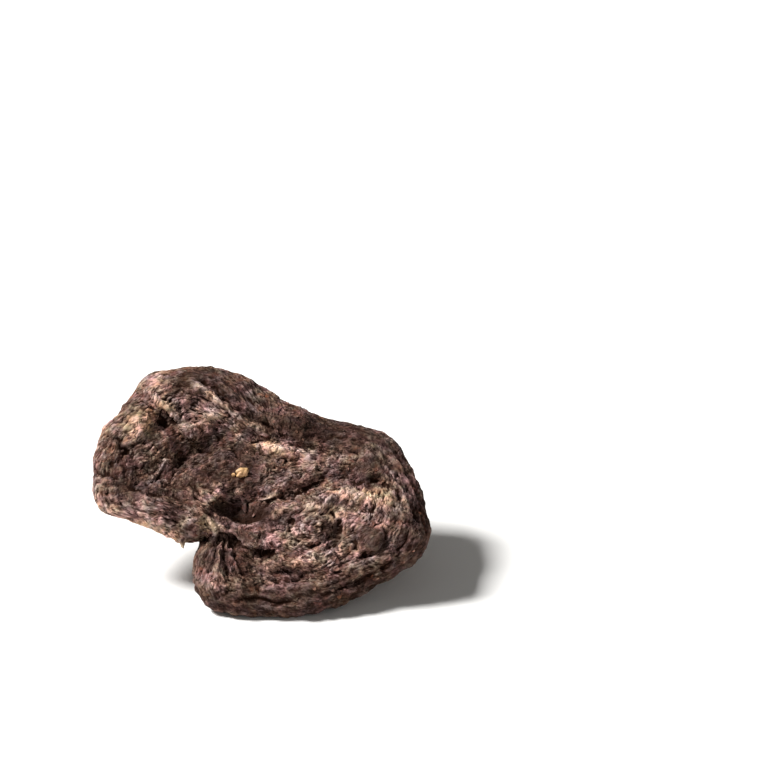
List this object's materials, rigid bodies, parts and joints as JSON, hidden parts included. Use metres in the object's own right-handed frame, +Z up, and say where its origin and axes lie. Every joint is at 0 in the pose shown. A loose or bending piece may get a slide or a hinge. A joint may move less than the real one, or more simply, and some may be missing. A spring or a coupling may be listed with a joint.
{
  "type": "dried mushroom",
  "caption": "Dried scaly hedgehog mushroom: a wrinkled, scaly, folded cap with soft spines beneath, leaning on its edge and its short ridged stalk.",
  "frame": {"origin": "centre of the footprint's box, on the surface that the mushroom rests on", "axes": "+Z up, +X along the cap's long side, to the right as the picture sees it, -Y towards the viewer"},
  "size_m": [0.1026, 0.0708, 0.052],
  "materials": {
    "dried_flesh": "matt, wrinkled and scaly"
  },
  "bodies": {
    "root": {"mushroom": "dried_flesh"}
  },
  "joints": []
}
